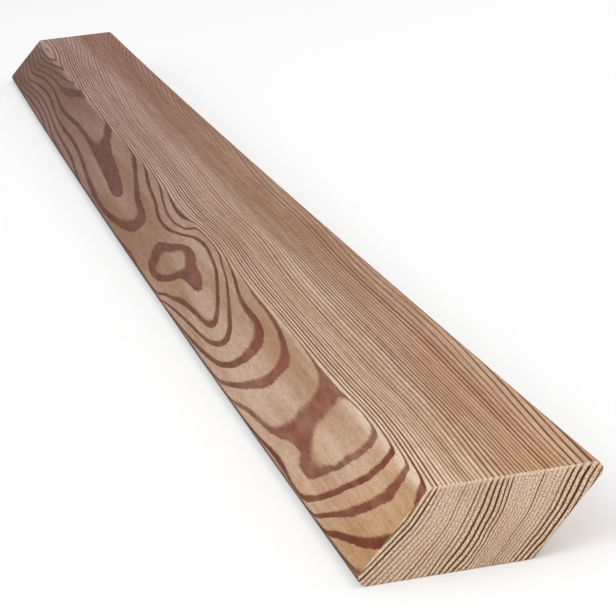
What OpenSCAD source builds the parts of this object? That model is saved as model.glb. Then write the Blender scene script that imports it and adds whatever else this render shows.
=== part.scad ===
// Planed larch plank with a rhombus section, as used for open-jointed cladding.
// Both long sides lean the same way, and the four long arrises are rounded.
// The plank lies on its back: X runs along the grain, Y across the plank and
// Z up, with the origin under the middle of the plank, on the back's plane.

/* [Plank] */
// Length along the grain, from one sawn end to the other
plank_length = 1000; // [300:50:4000]
// Thickness between the back and the face
thickness = 24; // [18:1:45]
// Overall width, from one acute arris to the other
overall_width = 68; // [60:1:160]

/* [Bevelled sides] */
// Angle between the back and the leaning sides
bevel_angle = 45; // [40:1:80]
// Radius of the four long arrises
arris_radius = 2.2; // [1:0.1:4]

/* [Hidden] */
$fn = 64;
larch_brown = [0.72, 0.56, 0.44];

// From a sharp corner to the point where its arris arc meets the side
acute_reach = arris_radius / tan(bevel_angle / 2);
obtuse_reach = arris_radius * tan(bevel_angle / 2);

// How far the leaning sides shift the face sideways from the back
lean = thickness / tan(bevel_angle);
// Width of the face and of the back between their sharp corners. The arc at
// each acute corner shortens the overall width by its reach less its radius.
face_width = overall_width - lean + 2 * (acute_reach - arris_radius);

across = [1, 0];
up_the_side = [cos(bevel_angle), sin(bevel_angle)];

// Sharp corners of the section, as seen from the +X end
back_left = [-(face_width + lean) / 2, 0];
back_right = back_left + face_width * across;
face_left = back_left + [lean, thickness];
face_right = face_left + face_width * across;

// The straight stretches of the section, with a chord across each corner
module straight_outline() {
    polygon([
        back_left + acute_reach * across,
        back_right - obtuse_reach * across,
        back_right + obtuse_reach * up_the_side,
        face_right - acute_reach * up_the_side,
        face_right - acute_reach * across,
        face_left + obtuse_reach * across,
        face_left - obtuse_reach * up_the_side,
        back_left + acute_reach * up_the_side
    ]);
}

// The round of one arris: a circle that touches both sides of its corner.
// inwards is +1 or -1 along each axis, from the corner to the circle's centre.
module arris(corner, reach, inwards) {
    translate(corner + [inwards.x * reach, inwards.y * arris_radius])
        circle(arris_radius);
}

module rhombus_section() {
    straight_outline();
    arris(back_left, acute_reach, [1, 1]);
    arris(back_right, obtuse_reach, [-1, 1]);
    arris(face_right, acute_reach, [-1, -1]);
    arris(face_left, obtuse_reach, [1, -1]);
}

module plank() {
    color(larch_brown)
        rotate([90, 0, 90])
            linear_extrude(plank_length, center = true)
                rhombus_section();
}

plank();
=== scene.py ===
import bpy
import numpy as np
from mathutils import Matrix, Vector


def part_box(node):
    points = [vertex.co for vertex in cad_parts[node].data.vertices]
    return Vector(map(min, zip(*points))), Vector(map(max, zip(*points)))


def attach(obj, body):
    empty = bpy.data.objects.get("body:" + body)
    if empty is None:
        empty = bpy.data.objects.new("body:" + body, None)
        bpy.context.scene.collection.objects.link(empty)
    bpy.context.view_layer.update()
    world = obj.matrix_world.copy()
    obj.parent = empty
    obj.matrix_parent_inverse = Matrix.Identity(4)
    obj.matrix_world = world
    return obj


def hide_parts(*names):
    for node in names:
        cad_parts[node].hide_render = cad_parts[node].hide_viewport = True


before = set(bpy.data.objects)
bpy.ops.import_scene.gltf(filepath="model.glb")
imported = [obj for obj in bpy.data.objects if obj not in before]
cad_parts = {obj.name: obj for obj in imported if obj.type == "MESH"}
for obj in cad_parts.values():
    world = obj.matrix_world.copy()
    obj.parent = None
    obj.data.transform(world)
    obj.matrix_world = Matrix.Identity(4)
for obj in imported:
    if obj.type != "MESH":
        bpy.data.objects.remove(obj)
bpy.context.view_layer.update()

# The plank's own measures, in millimetres, in the frame's axes: x runs along the
# grain, y across the plank and z up. The near end is the one at the largest x.
MM = 0.001
BOX_LOW, BOX_HIGH = (np.array(corner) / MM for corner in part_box("plank"))
LENGTH, WIDTH, THICKNESS = BOX_HIGH - BOX_LOW
HALF_LENGTH = LENGTH / 2
BEVEL = np.radians(45)
ARRIS_RADIUS = 2.2
ACUTE_REACH = ARRIS_RADIUS / np.tan(BEVEL / 2)
OBTUSE_REACH = ARRIS_RADIUS * np.tan(BEVEL / 2)
LEAN = THICKNESS / np.tan(BEVEL)
FACE_WIDTH = WIDTH - LEAN + 2 * (ACUTE_REACH - ARRIS_RADIUS)

# The section's sharp corners as (y, z), before the arrises are rounded
BACK_LEFT = np.array([-(FACE_WIDTH + LEAN) / 2, 0.0])
BACK_RIGHT = BACK_LEFT + [FACE_WIDTH, 0]
FACE_LEFT = BACK_LEFT + [LEAN, THICKNESS]
FACE_RIGHT = FACE_LEFT + [FACE_WIDTH, 0]
MIDDLE = np.array([0.0, THICKNESS / 2])

# Directions on the section: into the wood from the left bevel, and down along it
INTO_BEVEL = np.array([np.sin(BEVEL), -np.cos(BEVEL)])
DOWN_BEVEL = np.array([-np.cos(BEVEL), -np.sin(BEVEL)])
BEVEL_LENGTH = THICKNESS / np.sin(BEVEL)
# The way out through the right acute arris, and backwards through the left one. An
# arris has painted shade where it faces that way by more than the first share, fully at the second
OUT_OF_ACUTE = np.array([0.94, 0.34])
ACUTE_FROM, ACUTE_FULL = 0.7, 0.95

# How finely each side of the section is cut, in the order back, right bevel,
# face, left bevel, and how finely the arrises, the length and the ends are
SIDE_STEPS = (88, 40, 110, 50)
ACUTE_ARC_STEPS = 10
OBTUSE_ARC_STEPS = 4
LENGTH_ROWS = 250
END_ROWS = 16

# The sawn ends' edges are eased a little. Their wear and painted highlight go by the cube of how
# much they face up, taken to be at least LEAST_UPWARD
END_EASE = 0.35
LEAST_UPWARD = 0.3
# The plank has a slight crook: its middle lies this far to the left of its ends
CROOK = 2.3
# Edges that turn by more than this many degrees are drawn sharp
SHARP_TURN = 25

# Growth lines on the left bevel: a ring's number, then places that its dark line
# passes, as x and the distance down from the top arris, in millimetres
BEVEL_LINES = (
    (15, (495, 0), (499.5, 4)),
    (15, (500, 18), (494, 21), (486, 23.6), (477, 25.8), (467, 28.3)),
    (14, (479, 0), (480.5, 4), (480.5, 8), (475.5, 15), (468, 20), (459.5, 24.5), (448, 30)),
    (13, (463, 0), (464, 5), (461, 11), (453, 17), (445, 23), (431, 30)),
    (13, (412, 30), (400, 28.9), (388, 28.6), (372, 29.6)),
    (12, (441, 0), (446, 6), (440, 13), (431, 20), (423, 24), (411, 22), (398, 20.5)),
    (12, (386, 21), (378, 24), (366, 25.5), (345, 26.8), (325, 29.5)),
    (12, (400, 0), (386, 0), (372, 0.3), (397, 4.5), (388, 4.5), (393, 9), (393, 14), (401, 17), (391, 18)),
    (11, (262, 0), (290, 0.7), (312, 2), (327, 4), (338, 7.5), (340, 12)),
    (11, (336, 17), (327, 21), (316, 25), (296, 29.5)),
    (10, (216, 0), (230, 1.7), (245, 4), (262, 5.6), (283, 5.8), (297, 7), (305, 11)),
    (10, (304, 17), (297, 22), (285, 25.5), (262, 27.7), (225, 29.5)),
    (10, (125, 0), (112, 1.3), (90, 1.4), (74, 0)),
    (10, (-290, 28.5), (-330, 27.2), (-360, 27.3), (-400, 27.8), (-438, 28.6), (-470, 26.2)),
    (9, (194, 0), (207, 2.2), (223, 4.3), (240, 8), (256, 12), (270, 16.5)),
    (9, (270, 21), (259, 23.7), (235, 25.3), (205, 26.8), (175, 29)),
    (9, (141, 0.5), (128, 4), (112, 5.6), (88, 5.6), (68, 3.6), (47, 0.5)),
    (9, (-255, 27.6), (-285, 25.6), (-320, 24.3), (-360, 24), (-400, 25), (-438, 26.3), (-470, 23.8)),
    (8, (2, 0), (12, 2), (32, 4.4), (58, 6.5), (75, 9), (92, 9.8), (108, 9.3), (122, 7.6)),
    (8, (138, 5), (155, 2.8), (178, 2.5), (203, 4.8), (220, 8.5), (236, 12.8), (247, 17)),
    (8, (243, 20.4), (222, 21.5), (200, 22.8), (180, 25.5), (160, 29)),
    (8, (-135, 27.8), (-160, 26.3), (-220, 25.3), (-255, 24.3), (-282, 22.8), (-320, 21.3)),
    (8, (-360, 21), (-400, 22.3), (-438, 24), (-470, 21.4)),
    (7, (165, 11), (154, 8.6), (142, 9.8), (128, 13.5), (113, 17), (119, 22), (134, 25.8)),
    (7, (149, 24), (163, 19.5), (172, 16), (194, 14.3), (186, 12.5), (184, 16), (175, 12.5)),
    (7, (-38, 0), (-22, 3), (-2, 6.5), (15, 10), (30, 12.3), (48, 13.5), (58, 17), (53, 21)),
    (7, (42, 23.5), (22, 25.8), (-5, 27.5), (-40, 27.8), (-75, 26.3), (-105, 24.5)),
    (7, (-135, 22.3), (-170, 20.8), (-215, 20.6), (-260, 20.2), (-292, 18.7), (-320, 17)),
    (7, (-350, 16.5), (-380, 17.5), (-405, 19), (-438, 20.8), (-470, 18.4)),
    (6, (-14, 17), (-30, 14.5), (-33, 18), (-55, 12.5), (-58, 16.5), (-82, 10.5)),
    (6, (-85, 14.5), (-106, 9), (-116, 5), (-124, 2.5), (-131, 0), (-122, 13.5)),
    (6, (-160, 13), (-200, 13), (-235, 14.3), (-270, 14.9), (-298, 13.8), (-325, 12.4)),
    (6, (-360, 12.1), (-385, 12.6), (-405, 14), (-438, 16.7), (-470, 15.1)),
    (5, (-255, 1.4), (-268, 3), (-283, 5.5), (-300, 7.4), (-320, 8), (-340, 7.8)),
    (5, (-365, 8.4), (-385, 9.2), (-405, 10.8), (-438, 13), (-470, 11.5)),
    (4, (-292, 0.5), (-320, 2.9), (-350, 3.9), (-380, 5.4), (-405, 7.3), (-438, 9.7), (-470, 7.8)),
    (3, (-355, 0.3), (-380, 2), (-405, 4.4), (-438, 6.3), (-470, 5.2)),
    (2, (-400, 0.8), (-438, 3.5), (-470, 2.8)),
)
# In the same form, how far the growth has come in the middle of the pale places, and on
# the two edges of a broad line
BEVEL_PALES = (
    (11.45, (424, 8)), (11.5, (422, 2), (425, 15), (362, 12), (360, 20)), (11.6, (368, 4)),
    (11.6, (412, 4), (414, 9), (414, 14), (373, 6), (371, 11), (370, 16)),
    (12.5, (408, 26)), (12.14, (404, 21.8), (393, 22.6)), (14.55, (500, 11)), (15.75, (500, 27)),
    (13.85, (477, 4), (476.5, 8), (474.5, 12), (470.5, 16), (464, 20.5)),
    (14.15, (484, 4), (485, 8), (483, 12), (478.5, 16), (472, 20.5)),
    (7.4, (85, 18)), (7.5, (92, 26), (190, 7), (180, 20)), (7.95, (80, 29.5)),
    (6.5, (143, 17.5), (10, 19), (-60, 21)), (6.4, (-60, 6), (-30, 9)),
    (6.75, (160, 14.5), (153, 12), (143, 13.3), (134, 16), (128, 18.3), (131, 20.5), (140, 23), (157, 17.8)),
    (4.88, (-273, 1.6), (-290, 3.7), (-303, 6)), (5.12, (-263, 4.6), (-277, 7), (-297, 8.6)),
    (5.5, (-150, 6), (-200, 6), (-155, 9.5), (-200, 9.5), (-235, 10.6), (-490, 11)),
)
# Growth lines on the near end: a ring's number, then places on it as (y, z)
END_LINES = (
    (16, (-33.8, 3.2), (-29.1, 7), (-23.8, 11.5), (-20.1, 14.5), (-15.9, 19.5), (-13, 23.5)),
    (24, (-3.2, 23.5), (-5.8, 19), (-8.5, 14), (-12.2, 9.5), (-16.9, 5), (-21.1, 1)),
    (28, (1, 23.5), (-0.5, 20.7), (-2.9, 16.3), (-5.3, 12.5), (-8.2, 8.6), (-11.6, 4.8), (-14.8, 1)),
    (34, (10, 23.5), (7, 17), (4.7, 13), (0, 6.5), (-3.7, 2)),
    (42, (18.5, 23.5), (15.8, 19), (12.2, 13), (8, 8.3), (5.3, 5), (2.6, 2)),
    (48, (26.7, 23.2), (22.7, 18), (20, 14), (17.2, 10.8), (13.2, 6.5), (7.9, 1)),
    (50, (31.2, 23.2), (25.9, 17), (21.4, 11.5), (15.9, 5.5), (10.6, 0.5)),
)
# A ring reads this many times longer along the grain than across it on the bevel
GRAIN_STRETCH = 6.5
# How deep the bevel's own wander reaches into the wood, in millimetres, and how softly
# it bends over the top arris, as a share of the depth
WANDER_REACH = 14
ARRIS_BEND = 0.8
# Rings that the slope of the grain takes away, as a cubic in the share of the length
# from the near end
GRAIN_SLOPE = (19, -27, 36)

# The height of the heart's long and short waves, in rings
LONG_WAVE = 0.7
SHORT_WAVE = 0.35

# How strongly each ring's dark line shows, by ring number
RING_COUNT = 56
RING_STRENGTHS = (
    (0, 0.5), (4, 0.85), (6, 0.65), (7, 0.9), (17, 1.0), (19, 0.4), (23, 0.35), (24, 0.8), (25, 0.35),
    (27, 0.35), (28, 1.0), (29, 0.5), (30, 0.9), (34, 1.0), (35, 0.3), (41, 0.3), (42, 0.85), (43, 0.3),
    (46, 0.3), (47, 0.7), (48, 1.0), (51, 1.0), (53, 0.6),
)
# The strongest ring of all by chance, where 1 is as strong as the list says
STRONGEST = 1.05

# The planed sides' lines change from broad to close between these numbers of rings in a
# millimetre. Their width is a share of a ring, and their spread is how unlike they are
BROAD_TO_CLOSE = (0.3, 0.8)
WIDTH_BROAD, WIDTH_CLOSE = 0.125, 0.16
SPREAD_BROAD, SPREAD_CLOSE = 0.2, 0.38
# The share of their darkness that the face's lines lose away from the near end
FAINTNESS = 0.4

# Where a finish changes, from the first place to the second, in millimetres, and how
# much the edge of the warmer right wavers
FAINT_ALONG = (320.0, 20.0)
FAINT_ACROSS = (-5.0, 4.0)
# The bevel's painted shade starts at this place across the plank
ONTO_BEVEL = (FACE_LEFT[0], FACE_LEFT[0] - 2)
# The bevel's painted shade at its near end, and towards the far end, goes between these places along the
# plank
ONTO_NEAR_BEVEL = (430.0, HALF_LENGTH)
ONTO_FAR_BEVEL = (HALF_LENGTH, -HALF_LENGTH)
ONTO_RIGHT = (7.0, 16.0)
RIGHT_EDGE_WAVER = 8
LOW_ON_END = (17.0, 3.0)

# How often a pattern repeats in a millimetre: along the grain, across it and upwards
BROAD_RAGGEDNESS = (0.04, 0.5, 0.5)
FINE_RAGGEDNESS = (0.26, 2.4, 2.4)
PATCH = (0.05, 0.25, 0.25)
CLOUD = (0.005, 0.10, 0.10)
STREAK = (0.02, 1.2, 1.2)
FIBRE = (0.5, 3.5, 3.5)
FLECK = (0.10, 1.6, 1.6)
MOTTLE = (0.12, 0.5, 0.5)
END_SPECKLE = (2.6, 2.6, 2.6)
END_CLOUD = (0.08, 0.08, 0.08)


def srgb(red, green, blue):
    """A colour given as it reads on a screen, 0 to 255, in the linear values of a shader."""
    part = np.array([red, green, blue]) / 255
    linear = np.where(part <= 0.04045, part / 12.92, ((part + 0.055) / 1.055) ** 2.4)
    return (*linear.tolist(), 1.0)


EARLYWOOD = srgb(219, 196, 171)
EARLYWOOD_TAN = srgb(184, 149, 115)
LATEWOOD = srgb(112, 54, 19)
LATEWOOD_RED = srgb(136, 68, 49)
LINE_EDGE = srgb(180, 136, 96)
RIGHT_TINT = srgb(234, 218, 206)
# Painted shade: the left bevel is darker than the face, as less light falls on it
BEVEL_SHADE_TINT = srgb(242, 233, 227)
# Painted shade: the near end of the bevel a little darker, where the light falls off
NEAR_BEVEL_SHADE_TINT = srgb(241, 229, 210)
FAINT_TINT = srgb(245, 239, 234)
# Painted shade: the plank darker towards its far end, and its bevel more so, as less light reaches there
FAR_SHADE_TINT = srgb(206, 198, 218)
FAR_BEVEL_SHADE_TINT = srgb(200, 188, 178)
# Painted shade on the acute arrises, where they turn away from the light
ARRIS_SHADE_TINT = srgb(132, 110, 98)
END_PALE = srgb(234, 208, 182)
END_TAN = srgb(140, 108, 80)
END_LINE = srgb(66, 28, 4)
END_LINE_EDGE = srgb(166, 122, 82)
# Pale torn fibres, with a painted highlight, for the worn end edges
TORN_FIBRE_AND_HIGHLIGHT = srgb(230, 201, 168)
STUDIO_WHITE = (0.95, 0.95, 0.95, 1.0)
PURE_WHITE = (1.0, 1.0, 1.0, 1.0)

# How much of the torn fibres' colour and painted highlight the worn edges take, planed and
# sawn, and how strongly the wood reflects
WEAR_AND_HIGHLIGHT_PLANED, WEAR_AND_HIGHLIGHT_SAWN = 0.6, 0.5
WOOD_SHEEN = 0.05

# The floor reaches this many metres to each side. Its own white takes over from the
# shadow, from the first share to the second, between these distances in millimetres
FLOOR_REACH = 12.0
WHITE_OUT = (1000.0, 4000.0)
WHITE_SHARES = (0.30, 1.0)


def thin_plate(knots, heights, places, slack=0.5):
    """The smoothest surface through some heights, at some places: r squared times the
    log of r for each knot, weighted, plus a level plane. Slack lets it pass a knot by."""
    def ripple(a, b):
        square = ((a[:, None, :] - b[None, :, :]) ** 2).sum(-1)
        return square * np.log(square + 1e-9)

    def plane(a):
        return np.hstack([np.ones((len(a), 1)), a])

    count = len(knots)
    system = np.zeros((count + 3, count + 3))
    system[:count, :count] = ripple(knots, knots) + slack * np.eye(count)
    system[:count, count:] = plane(knots)
    system[count:, :count] = plane(knots).T
    weights = np.linalg.solve(system, np.append(heights, np.zeros(3)))
    return ripple(places, knots) @ weights[:count] + plane(places) @ weights[count:]


def rings_through(lines, first, second, squeeze=(1, 1)):
    """The ring count at the places (first, second), drawn smoothly through some lines."""
    knots = np.array([place for _, *places in lines for place in places])
    heights = np.array([ring for ring, *places in lines for _ in places])
    wanted = np.stack([first, second], axis=-1).reshape(-1, 2)
    return thin_plate(knots * squeeze, heights, wanted * squeeze).reshape(np.shape(first))


def deep_wander(x, y, z):
    """Slow waves of the grain in the heart of the wood, as a sum of sines, in rings."""
    along = x / HALF_LENGTH
    long_wave = np.sin(7.1 * along + 0.10 * z + 0.6) * np.cos(0.05 * y + 1.3 * along)
    short_wave = np.sin(15.3 * along - 0.13 * z + 0.04 * y + 2.1)
    return LONG_WAVE * long_wave + SHORT_WAVE * short_wave


def growth(x, y, z):
    """How many rings have grown at a place, where a whole number is a ring's dark line.

    In the heart of the wood it is the near end's count, less the slope of the grain, plus
    the deep wander. On the left bevel it is the bevel's own count. Inwards from there, how
    far that differs from the near end's fades as exp(-depth / WANDER_REACH), and the
    wander comes in as 1 less that."""
    from_corner = np.stack([y - FACE_LEFT[0], z - FACE_LEFT[1]], axis=-1)
    depth = np.clip(from_corner @ INTO_BEVEL, 0, None)
    down = from_corner @ DOWN_BEVEL
    down = np.clip((down + np.hypot(down, ARRIS_BEND * depth)) / 2, 0, BEVEL_LENGTH)
    share = (HALF_LENGTH - x) / LENGTH
    slope = GRAIN_SLOPE[0] * share + GRAIN_SLOPE[1] * share**2 + GRAIN_SLOPE[2] * share**3

    foot_y = FACE_LEFT[0] + DOWN_BEVEL[0] * down
    foot_z = FACE_LEFT[1] + DOWN_BEVEL[1] * down
    carried = rings_through(END_LINES, y, z) - slope
    carried_to_bevel = rings_through(END_LINES, foot_y, foot_z) - slope
    on_bevel = rings_through(BEVEL_LINES + BEVEL_PALES, x, down, squeeze=(1 / GRAIN_STRETCH, 1))
    fade = np.exp(-depth / WANDER_REACH)
    return carried + (on_bevel - carried_to_bevel) * fade + deep_wander(x, y, z) * (1 - fade)


def section_outline():
    """The rhombus section as a closed line of points with their outward normals.

    Each side is cut into even steps. Each arris is an arc of ARRIS_RADIUS about the
    point that far inside both its sides, and the normal turns evenly along it."""
    corners = np.array([BACK_LEFT, BACK_RIGHT, FACE_RIGHT, FACE_LEFT])
    sides = np.roll(corners, -1, axis=0) - corners
    ahead = sides / np.linalg.norm(sides, axis=1, keepdims=True)
    outward = np.stack([ahead[:, 1], -ahead[:, 0]], axis=1)
    reaches = (ACUTE_REACH, OBTUSE_REACH, ACUTE_REACH, OBTUSE_REACH)
    arc_steps = (ACUTE_ARC_STEPS, OBTUSE_ARC_STEPS, ACUTE_ARC_STEPS, OBTUSE_ARC_STEPS)
    points, normals = [], []
    for i, corner in enumerate(corners):
        before, after = outward[i - 1], outward[i]
        turn = np.arccos(before @ after)
        angles = np.arctan2(before[1], before[0]) + np.linspace(0, turn, arc_steps[i] + 1)
        arc_normals = np.stack([np.cos(angles), np.sin(angles)], axis=1)
        centre = corner - ahead[i - 1] * reaches[i] - before * ARRIS_RADIUS
        points.append(centre + ARRIS_RADIUS * arc_normals)
        normals.append(arc_normals)

        start = corner + ahead[i] * reaches[i]
        end = corners[(i + 1) % 4] - ahead[i] * reaches[(i + 1) % 4]
        steps = np.linspace(0, 1, SIDE_STEPS[i] + 1)[1:-1, None]
        points.append(start + steps * (end - start))
        normals.append(np.repeat(after[None], len(steps), axis=0))
    return np.concatenate(points), np.concatenate(normals)


def section_rows():
    """The rows that the section is carried through, from the far end's middle along the
    plank to the near end's: each row's x, how far it is drawn in, and its scale."""
    scales = np.linspace(1 / END_ROWS, 1, END_ROWS)
    to_ease = HALF_LENGTH - END_EASE
    to_clean = to_ease - END_EASE
    middle_x = np.linspace(-to_clean, to_clean, LENGTH_ROWS - 2)
    end_x = np.full(END_ROWS, HALF_LENGTH)
    x = np.concatenate([-end_x, [-to_ease], middle_x, [to_ease], end_x])
    drawn_in = np.where(np.abs(x) == HALF_LENGTH, END_EASE, 0.0)
    scale = np.concatenate([scales, np.ones(LENGTH_ROWS), scales[::-1]])
    return x, drawn_in, scale


def plank_surface():
    """The plank's whole surface as a grid: one row of points for each section row."""
    outline, normals = section_outline()
    x, drawn_in, scale = section_rows()
    inside = outline[None] - drawn_in[:, None, None] * normals[None]
    section = MIDDLE + scale[:, None, None] * (inside - MIDDLE)
    across = np.broadcast_to(x[:, None, None], (*section.shape[:2], 1))
    return np.concatenate([across, section], axis=2), normals


def crooked(points):
    """Moves the middle of the plank to the left and its ends to the right, as a parabola."""
    bent = points.copy()
    bent[:, 1] += CROOK * ((points[:, 0] / HALF_LENGTH) ** 2 - 0.5)
    return bent


def steepness(grid, rings):
    """How many rings pass in a millimetre of the surface: the ring count's differences
    along the plank and around it, each over its distance, as one length."""
    ahead = np.gradient(rings, axis=0) / np.linalg.norm(np.gradient(grid, axis=0), axis=2)
    step_around = np.roll(grid, -1, axis=1) - np.roll(grid, 1, axis=1)
    rise_around = np.roll(rings, -1, axis=1) - np.roll(rings, 1, axis=1)
    return np.hypot(ahead, rise_around / np.linalg.norm(step_around, axis=2))


def tube_faces(rows, around):
    """The faces of a closed tube of points, with a fan to a middle point at each end."""
    row, column = np.meshgrid(np.arange(rows - 1), np.arange(around), indexing="ij")
    after = (column + 1) % around
    here, beside = row * around + column, row * around + after
    quads = np.stack([here, beside, beside + around, here + around], axis=-1).reshape(-1, 4)
    column = np.arange(around)
    after = (column + 1) % around
    far_middle, near_middle = rows * around, rows * around + 1
    last = (rows - 1) * around
    far_fan = np.stack([np.full(around, far_middle), after, column], axis=1)
    near_fan = np.stack([np.full(around, near_middle), last + column, last + after], axis=1)
    return quads, np.concatenate([far_fan, near_fan])


def make_plank(face_finish, end_finish):
    """The plank as one closed mesh that knows its ring count, its worn edges with painted highlight, and its
    painted arris shade.
    """
    grid, normals = plank_surface()
    rows, around = grid.shape[:2]
    middles = np.array([[-HALF_LENGTH, *MIDDLE], [HALF_LENGTH, *MIDDLE]])
    points = np.concatenate([grid.reshape(-1, 3), middles])
    quads, fans = tube_faces(rows, around)

    mesh = bpy.data.meshes.new("larch_plank")
    mesh.from_pydata((crooked(points) * MM).tolist(), [], quads.tolist() + fans.tolist())
    mesh.materials.append(face_finish)
    mesh.materials.append(end_finish)

    # The first and last END_ROWS rows are the ends, and the next gap is the eased edge
    row = np.arange(rows)
    on_length = (row >= END_ROWS) & (row < rows - END_ROWS)
    on_edge = np.isin(row, (END_ROWS - 1, END_ROWS, rows - END_ROWS - 1, rows - END_ROWS))
    long_faces = np.repeat(on_length[:-1] & on_length[1:], around)
    finish_of_face = np.append(np.where(long_faces, 0, 1), np.ones(len(fans)))
    mesh.polygons.foreach_set("material_index", finish_of_face.astype(np.int32))

    rings = growth(*points.T)
    # Wear and painted highlight on the eased end edges: paler the more they face up
    highlight_upward = np.clip(normals[:, 1], LEAST_UPWARD, 1) ** 3
    # Painted shade on the acute arrises, by how far they face out sideways
    arris_shade = np.clip((np.abs(normals @ OUT_OF_ACUTE) - ACUTE_FROM) / (ACUTE_FULL - ACUTE_FROM), 0, 1)
    knows = {
        "growth": rings,
        "steepness": np.append(steepness(grid, rings[:-2].reshape(rows, around)), [1, 1]),
        "wear_and_highlight": np.append(on_edge[:, None] * highlight_upward, [0, 0]),
        "arris": np.append(on_length[:, None] * arris_shade, [0, 0]),
    }
    for name, values in knows.items():
        attribute = mesh.attributes.new(name, "FLOAT", "POINT")
        attribute.data.foreach_set("value", values.astype(np.float32))

    mesh.polygons.foreach_set("use_smooth", np.ones(len(mesh.polygons), bool))
    mesh.set_sharp_from_angle(angle=np.radians(SHARP_TURN))
    mesh.update()
    piece = bpy.data.objects.new("larch_plank", mesh)
    bpy.context.scene.collection.objects.link(piece)
    return piece


class Signal:
    """A shader socket that takes part in sums, so that a finish reads as arithmetic."""

    def __init__(self, finish, socket):
        self.finish = finish
        self.socket = socket

    def __add__(self, other):
        return self.finish.math("ADD", self, other)

    def __sub__(self, other):
        return self.finish.math("SUBTRACT", self, other)

    def __rsub__(self, other):
        return self.finish.math("SUBTRACT", other, self)

    def __mul__(self, other):
        return self.finish.math("MULTIPLY", self, other)

    __radd__ = __add__
    __rmul__ = __mul__


class Finish:
    """A material or a world whose nodes are added one at a time and joined by signals."""

    def __init__(self, owner):
        owner.use_nodes = True
        self.owner = owner
        self.tree = owner.node_tree
        self.tree.nodes.clear()

    def node(self, kind, settings=None, inputs=None, output=0):
        """Adds a node: its settings first, then the values or links of its sockets."""
        made = self.tree.nodes.new(kind)
        settings = dict(settings or {})
        stops = settings.pop("stops", ())
        for name, value in settings.items():
            setattr(made, name, value)
        for i, (position, value) in enumerate(stops):
            elements = made.color_ramp.elements
            stop = elements[i] if i < 2 else elements.new(position)
            stop.position = position
            stop.color = (value, value, value, 1)
        for key, value in (inputs or {}).items():
            if isinstance(value, Signal):
                self.tree.links.new(value.socket, made.inputs[key])
            else:
                made.inputs[key].default_value = value
        return Signal(self, made.outputs[output]) if made.outputs else None

    def math(self, operation, *values):
        return self.node("ShaderNodeMath", {"operation": operation}, dict(enumerate(values)))

    def mix(self, factor, first, second, how="MIX"):
        """Blends two colours. The Mix node's colours are its sockets 6 and 7, its result 2."""
        settings = {"data_type": "RGBA", "blend_type": how}
        return self.node("ShaderNodeMix", settings, {0: factor, 6: first, 7: second}, output=2)

    def step(self, value, low, high, start=0.0, end=1.0):
        """Goes smoothly from start to end while the value goes from low to high."""
        inputs = {"Value": value, "From Min": low, "From Max": high, "To Min": start, "To Max": end}
        return self.node("ShaderNodeMapRange", {"interpolation_type": "SMOOTHSTEP"}, inputs)

    def place(self, scale=(1, 1, 1)):
        """The place on the object in millimetres, scaled."""
        where = self.node("ShaderNodeTexCoord", output="Object")
        return self.node("ShaderNodeMapping", None, {"Vector": where, "Scale": Vector(scale) / MM})

    def noise(self, scale, detail=2.0, roughness=0.5):
        """Smooth noise from 0 to 1, whose scale is in cycles per millimetre for each axis."""
        inputs = {"Vector": self.place(scale), "Scale": 1.0, "Detail": detail, "Roughness": roughness}
        return self.node("ShaderNodeTexNoise", None, inputs)

    def attribute(self, name):
        return self.node("ShaderNodeAttribute", {"attribute_name": name}, output="Fac")

    def axis(self, name):
        """One coordinate of the place on the object, in millimetres."""
        return self.node("ShaderNodeSeparateXYZ", None, {0: self.place()}, output=name)

    def finish_with(self, colour, roughness, height, relief):
        """Closes the material: a plain surface with a bump of this relief, in millimetres."""
        bump = self.node("ShaderNodeBump", None, {"Height": height, "Distance": relief * MM})
        inputs = {
            "Base Color": colour,
            "Roughness": roughness,
            "Specular IOR Level": WOOD_SHEEN,
            "Normal": bump,
        }
        surface = self.node("ShaderNodeBsdfPrincipled", None, inputs)
        self.node("ShaderNodeOutputMaterial", None, {"Surface": surface})
        return self.owner


def ring_signals(finish, ragged):
    """Splits the growth into the nearest ring's number and the way from its dark line."""
    growth_here = finish.attribute("growth")
    broad = finish.noise(BROAD_RAGGEDNESS)
    fine = finish.noise(FINE_RAGGEDNESS, detail=3.0)
    uneven = growth_here + (broad - 0.5) * ragged + (fine - 0.5) * (2 * ragged)
    number = finish.math("FLOOR", uneven + 0.5)
    return number, uneven - number


def dark_line(finish, number, way, width, softness, evenness, spread):
    """A ring's dark line: it darkens slowly towards the line and ends sharply after it. Its
    width and strength differ from ring to ring, by chance, as far as the spread says."""
    chance = finish.node("ShaderNodeTexWhiteNoise", {"noise_dimensions": "1D"}, {"W": number})
    half = width * (chance * (2 * spread) + (1 - spread))
    rise = finish.step(way + half, -softness, 0.02)
    fall = finish.step(way - half, -0.015, 0.03, start=1.0, end=0.0)
    stops = [(ring / RING_COUNT, strength) for ring, strength in RING_STRENGTHS]
    chosen = finish.node("ShaderNodeValToRGB", {"stops": stops}, {"Fac": number * (1 / RING_COUNT)})
    strength = (chosen * (1 - evenness) + evenness) * (chance * spread + (STRONGEST - spread))
    return rise * fall * strength


def tinted(finish, colour, *shares_and_tints):
    """Multiplies a colour by each tint where its share says so."""
    for share, tint in shares_and_tints:
        colour = finish.mix(share, colour, tint, how="MULTIPLY")
    return colour


# Painted shade: the share of darkening towards the far end, where less light reaches
def far_shade_share(finish):
    """0 at the near end and 1 at the far one, changing fastest at the near end."""
    inputs = {"Value": finish.axis("X"), "From Min": -HALF_LENGTH, "From Max": HALF_LENGTH}
    near = finish.node("ShaderNodeMapRange", None, inputs)
    return 1 - near * near


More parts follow.
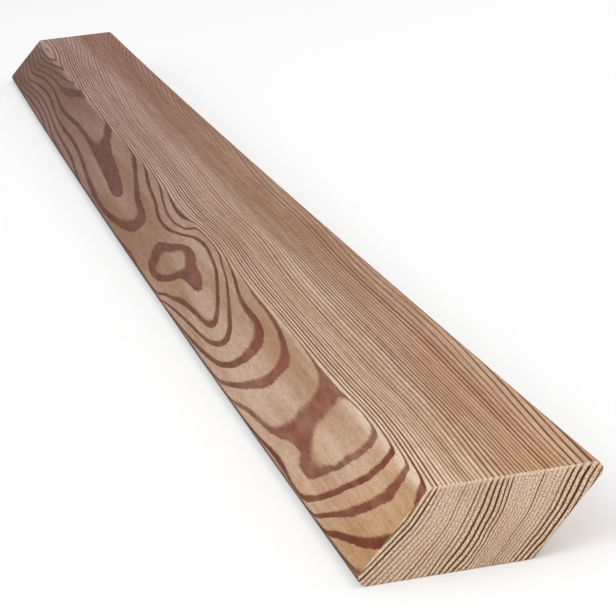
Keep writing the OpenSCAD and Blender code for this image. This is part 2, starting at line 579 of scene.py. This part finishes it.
def planed_lines(wood, steep, faint):
    """How dark the latewood is, from 0 to 1: even lines, patchy along the grain, which are
    weaker where the face grows faint."""
    number, way = ring_signals(wood, ragged=0.07)
    width = wood.step(steep, *BROAD_TO_CLOSE, WIDTH_BROAD, WIDTH_CLOSE)
    spread = wood.step(steep, *BROAD_TO_CLOSE, SPREAD_BROAD, SPREAD_CLOSE)
    dark = dark_line(wood, number, way, width, softness=0.10, evenness=0.65, spread=spread)
    patches = wood.step(wood.noise(PATCH, detail=3.0), 0.36, 0.66, start=1.0, end=0.86)
    return dark * patches * (1 - faint * FAINTNESS)


def pale_larch(wood, steep, close, streak, fibre):
    """The earlywood between the lines: tan clouds, streaks and fibres on a paler ground."""
    clouds = (wood.noise(CLOUD, detail=3.0) - 0.5) * (0.8 - close * 0.35)
    stripes = (streak - 0.5) * wood.step(steep, 0.1, 0.5, start=0.3, end=0.75)
    tan = wood.step(clouds + stripes + fibre * 0.3, -0.05, 0.35)
    return wood.mix(tan, EARLYWOOD, EARLYWOOD_TAN)


def side_tints(wood, streak, faint):
    """The tints of the plank's sides, each with the share that it takes at a place."""
    along, across = wood.axis("X"), wood.axis("Y")
    on_bevel = wood.step(across, *ONTO_BEVEL)
    return (
        # Painted shade on the bevel, darker than the face
        (on_bevel, BEVEL_SHADE_TINT),
        # Painted shade at the near end of the bevel and towards its far end
        (on_bevel * wood.step(along, *ONTO_NEAR_BEVEL), NEAR_BEVEL_SHADE_TINT),
        (on_bevel * wood.step(along, *ONTO_FAR_BEVEL), FAR_BEVEL_SHADE_TINT),
        (wood.step(across + (streak - 0.5) * RIGHT_EDGE_WAVER, *ONTO_RIGHT), RIGHT_TINT),
        (faint, FAINT_TINT),
        # Painted shade on the acute arrises
        (wood.attribute("arris"), ARRIS_SHADE_TINT),
    )


def planed_larch():
    """Planed long grain: pale earlywood, reddish latewood lines, fibres and a warmer right.
    The lines of the face grow faint away from the near end."""
    wood = Finish(bpy.data.materials.new("planed_larch"))
    steep = wood.attribute("steepness")
    close = wood.step(steep, *BROAD_TO_CLOSE)
    faint = wood.step(wood.axis("X"), *FAINT_ALONG) * wood.step(wood.axis("Y"), *FAINT_ACROSS)
    streak = wood.noise(STREAK, detail=4.0, roughness=0.65)
    fibre = wood.noise(FIBRE, detail=3.0, roughness=0.7)
    fleck = wood.noise(FLECK, detail=1.0)
    mottle = wood.noise(MOTTLE, detail=3.0)

    dark = planed_lines(wood, steep, faint)
    pale = pale_larch(wood, steep, close, streak, fibre)
    edge = wood.mix(wood.step(dark, 0.1, 0.7) * close, pale, LINE_EDGE)
    shallow = wood.step(steep + (mottle - 0.5) * 0.4, 0.13, -0.03)
    colour = wood.mix(dark, edge, wood.mix(shallow, LATEWOOD, LATEWOOD_RED))

    grain = wood.step(fibre, 0.3, 0.7, start=1.10, end=0.90)
    grain = grain * wood.step(fleck, 0.70, 0.78, start=1.0, end=0.75)
    grain = grain * wood.step(mottle, 0.35, 0.65, start=1.06, end=0.94)
    colour = wood.mix(1.0, colour, grain, how="MULTIPLY")
    colour = tinted(wood, colour, *side_tints(wood, streak, faint))
    # The worn end edges paler: torn fibres and a painted highlight
    colour = wood.mix(wood.attribute("wear_and_highlight") * WEAR_AND_HIGHLIGHT_PLANED, colour, TORN_FIBRE_AND_HIGHLIGHT)
    # Painted shade, darker towards the far end
    colour = tinted(wood, colour, (far_shade_share(wood), FAR_SHADE_TINT))

    roughness = 0.62 - dark * 0.10 + (fibre - 0.5) * 0.15
    height = dark * 0.6 + fibre * 0.25 + streak * 0.15
    return wood.finish_with(colour, roughness, height, relief=0.08)


def sawn_end():
    """Sawn end grain: beige and speckled, with thin dark ring lines, all seen low down."""
    wood = Finish(bpy.data.materials.new("sawn_end_grain"))
    number, way = ring_signals(wood, ragged=0.06)
    evenness = wood.step(wood.axis("Z"), *LOW_ON_END, start=0.05, end=0.35)
    dark = dark_line(wood, number, way, width=0.17, softness=0.10, evenness=evenness, spread=0.2)

    speckle = wood.noise(END_SPECKLE, roughness=0.6)
    dark = dark * wood.step(speckle, 0.4, 0.6, start=1.0, end=0.8)
    pale = wood.mix(wood.step(speckle, 0.34, 0.56), END_TAN, END_PALE)
    pale = wood.mix(wood.step(wood.noise(END_CLOUD), 0.4, 0.7) * 0.3, pale, EARLYWOOD_TAN)
    edge = wood.mix(wood.step(dark, 0.2, 0.9), pale, END_LINE_EDGE)
    colour = wood.mix(dark, edge, END_LINE)
    # The worn end edges paler: torn fibres and a painted highlight
    colour = wood.mix(wood.attribute("wear_and_highlight") * WEAR_AND_HIGHLIGHT_SAWN, colour, TORN_FIBRE_AND_HIGHLIGHT)
    # Painted shade, darker towards the far end
    colour = tinted(wood, colour, (far_shade_share(wood), FAR_SHADE_TINT))
    return wood.finish_with(colour, roughness=0.8, height=speckle * 0.7 + dark * 0.3, relief=0.05)


def seen(finish):
    """1 for the rays that look at a thing, straight or in a reflection, and else 0."""
    camera = finish.node("ShaderNodeLightPath", output="Is Camera Ray")
    glossy = finish.node("ShaderNodeLightPath", output="Is Glossy Ray")
    through = finish.node("ShaderNodeLightPath", output="Is Transmission Ray")
    return finish.math("MAXIMUM", camera, finish.math("MAXIMUM", glossy, through))


def studio_floor():
    """A pale level floor whose own colour is the white background. It keeps the shadow near
    the plank, and farther out it is white alone."""
    finish = Finish(bpy.data.materials.new("studio_floor"))
    plain = finish.node("ShaderNodeBsdfDiffuse", None, {"Color": STUDIO_WHITE})
    glow = finish.node("ShaderNodeEmission", None, {"Color": PURE_WHITE, "Strength": 1.0})
    how = {"operation": "LENGTH"}
    far_out = finish.node("ShaderNodeVectorMath", how, {0: finish.place()}, output="Value")
    share = seen(finish) * finish.step(far_out, *WHITE_OUT, *WHITE_SHARES)
    surface = finish.node("ShaderNodeMixShader", None, {0: share, 1: plain, 2: glow})
    finish.node("ShaderNodeOutputMaterial", None, {"Surface": surface})

    reach = FLOOR_REACH
    corners = [(-reach, -reach, 0), (reach, -reach, 0), (reach, reach, 0), (-reach, reach, 0)]
    mesh = bpy.data.meshes.new("studio_floor")
    mesh.from_pydata(corners, [], [(0, 1, 2, 3)])
    mesh.materials.append(finish.owner)
    floor = bpy.data.objects.new("studio_floor", mesh)
    bpy.context.scene.collection.objects.link(floor)
    return floor


def white_room(strength):
    """An even pale sky, which looks plain white when it is seen."""
    sky = Finish(bpy.data.worlds.new("white_room"))
    level = strength + seen(sky) * (1 - strength)
    surface = sky.node("ShaderNodeBackground", None, {"Color": PURE_WHITE, "Strength": level})
    sky.node("ShaderNodeOutputWorld", None, {"Surface": surface})
    bpy.context.scene.world = sky.owner


def soft_lamp(name, place, aim, size, power):
    """A square soft box at a place in metres, aimed at another."""
    light = bpy.data.lights.new(name, "AREA")
    light.size = size
    light.energy = power
    lamp = bpy.data.objects.new(name, light)
    lamp.location = place
    lamp.rotation_euler = (Vector(aim) - Vector(place)).to_track_quat("-Z", "Y").to_euler()
    bpy.context.scene.collection.objects.link(lamp)


# The camera stands near the near end, a little above the plank, and is rolled so
# that the plank rises across the picture from the lower right to the upper left. Its
# place is in metres, its focal length in pixels of the picture and its sensor's side in
# millimetres
PICTURE_SIDE = 616
CAMERA_PLACE = (1.0844, -0.14785, 0.2252)
CAMERA_AHEAD = (-0.9536, 0.1774, -0.2433)
CAMERA_UP = (-0.2202, 0.1401, 0.9653)
FOCAL_PIXELS = 2441
SENSOR_SIDE = 36.0


def photo_camera():
    """A camera at CAMERA_PLACE that looks along CAMERA_AHEAD, with CAMERA_UP upwards."""
    ahead = Vector(CAMERA_AHEAD).normalized()
    right = ahead.cross(Vector(CAMERA_UP)).normalized()
    up = right.cross(ahead)
    turn = Matrix((right, up, -ahead)).transposed()
    lens = bpy.data.cameras.new("camera")
    lens.sensor_width = SENSOR_SIDE
    lens.lens = FOCAL_PIXELS * SENSOR_SIDE / PICTURE_SIDE
    lens.clip_start = 0.01
    camera = bpy.data.objects.new("camera", lens)
    camera.matrix_world = Matrix.Translation(CAMERA_PLACE) @ turn.to_4x4()
    bpy.context.scene.collection.objects.link(camera)
    bpy.context.scene.camera = camera


photo_camera()
white_room(strength=0.76)
soft_lamp("key", place=(1.3, -1.3, 1.5), aim=(0.2, 0, 0), size=1.6, power=16)
soft_lamp("fill", place=(0.0, 1.4, 1.6), aim=(0, 0, 0), size=1.6, power=10)
studio_floor()

plank = make_plank(planed_larch(), sawn_end())
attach(plank, "root")
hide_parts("plank")

bpy.context.scene.view_settings.view_transform = "Standard"
